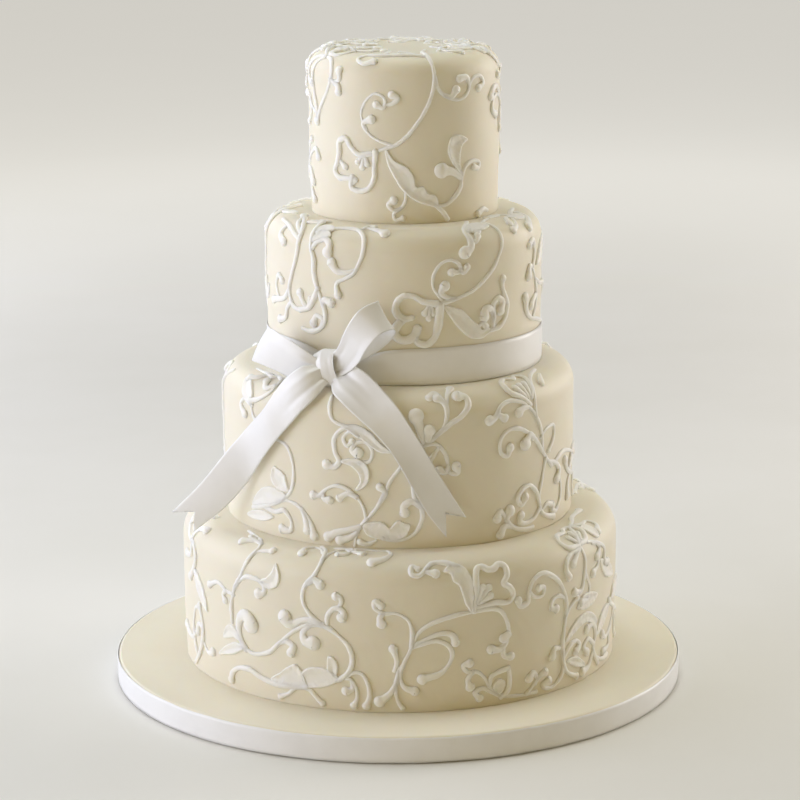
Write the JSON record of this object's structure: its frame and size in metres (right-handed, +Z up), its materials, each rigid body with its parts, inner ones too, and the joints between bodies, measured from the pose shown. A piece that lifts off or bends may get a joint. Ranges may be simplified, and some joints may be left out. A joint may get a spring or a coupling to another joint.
{
  "type": "tiered wedding cake",
  "caption": "Ivory tiered wedding cake on a ribbon-edged drum, with white piped scrollwork and a satin bow with two long tails.",
  "frame": {"origin": "centre of the drum's underside", "axes": "+Z up; the front of the cake, with the bow a little to its left, faces -Y; +X is to the viewer's right"},
  "size_m": [0.356, 0.356, 0.3967],
  "materials": {
    "sugar_paste": "satin",
    "royal_icing": "matte",
    "satin_ribbon": "satin",
    "drum_card": "matte"
  },
  "bodies": {
    "root": {"board_drum": "drum_card", "board_paste": "sugar_paste", "board_ribbon": "satin_ribbon", "tier_base": "sugar_paste", "tier_third": "sugar_paste", "tier_second": "sugar_paste", "tier_top": "sugar_paste", "ribbon_band": "satin_ribbon", "ribbon_bow": "satin_ribbon", "piping_top_front": "royal_icing", "piping_top_left": "royal_icing", "piping_top_left_low": "royal_icing", "piping_top_right": "royal_icing", "piping_second_front": "royal_icing", "piping_second_upper": "royal_icing", "piping_second_left": "royal_icing", "piping_second_left_two": "royal_icing", "piping_second_left_three": "royal_icing", "piping_second_right": "royal_icing", "piping_second_ledge": "royal_icing", "piping_third_front": "royal_icing", "piping_third_front_low": "royal_icing", "piping_third_left": "royal_icing", "piping_third_left_up": "royal_icing", "piping_third_middle": "royal_icing", "piping_third_right": "royal_icing", "piping_third_right_foot": "royal_icing", "piping_third_far_right": "royal_icing", "piping_base_left": "royal_icing", "piping_base_scroll": "royal_icing", "piping_base_middle": "royal_icing", "piping_base_heart": "royal_icing", "piping_base_right": "royal_icing", "piping_base_vine": "royal_icing", "piping_base_right_low": "royal_icing", "piping_base_far_right": "royal_icing", "piping_base_far_left": "royal_icing", "piping_base_far_left_low": "royal_icing", "piping_top_left_back": "royal_icing", "piping_second_left_two_back": "royal_icing", "piping_third_left_back": "royal_icing", "piping_third_middle_back": "royal_icing", "piping_base_left_back": "royal_icing", "piping_base_right_back": "royal_icing"}
  },
  "joints": []
}
